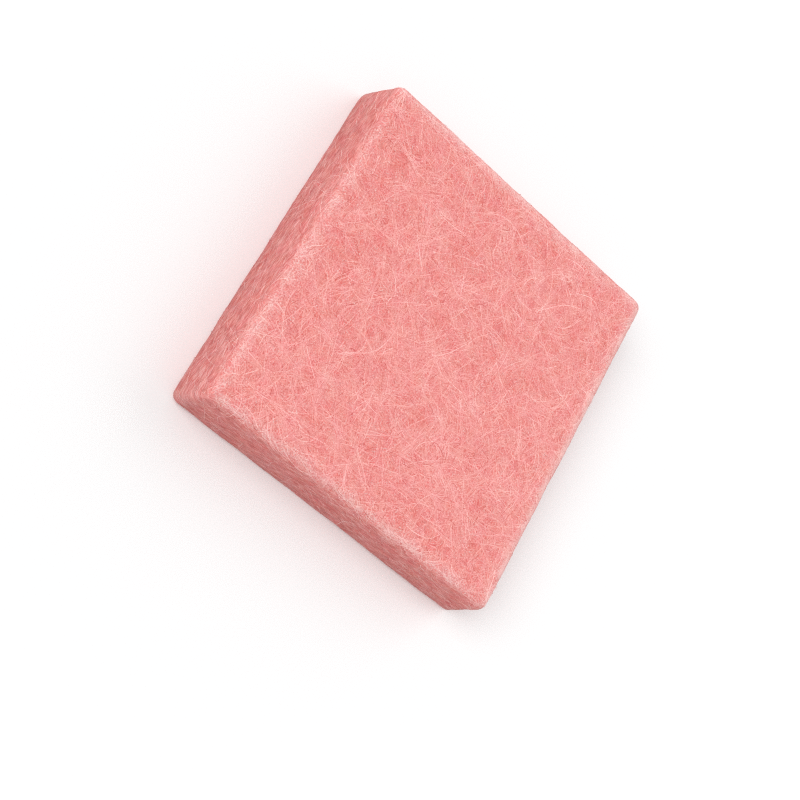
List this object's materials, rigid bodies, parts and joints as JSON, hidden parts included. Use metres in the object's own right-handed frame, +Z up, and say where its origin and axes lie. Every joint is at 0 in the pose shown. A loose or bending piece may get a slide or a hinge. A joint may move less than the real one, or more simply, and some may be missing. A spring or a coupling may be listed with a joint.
{
  "type": "mineral wool insulation slab",
  "caption": "Small square slab of pink mineral wool insulation, cut from a board, with soft fibrous faces and edges.",
  "frame": {"origin": "middle of the footprint, on the face that the slab rests on", "axes": "+X across the width, +Y along the length, +Z up through the thickness"},
  "size_m": [0.1308, 0.1318, 0.025],
  "materials": {
    "pink_wool": "matt, fibrous"
  },
  "bodies": {
    "root": {"insulation_slab": "pink_wool"}
  },
  "joints": []
}
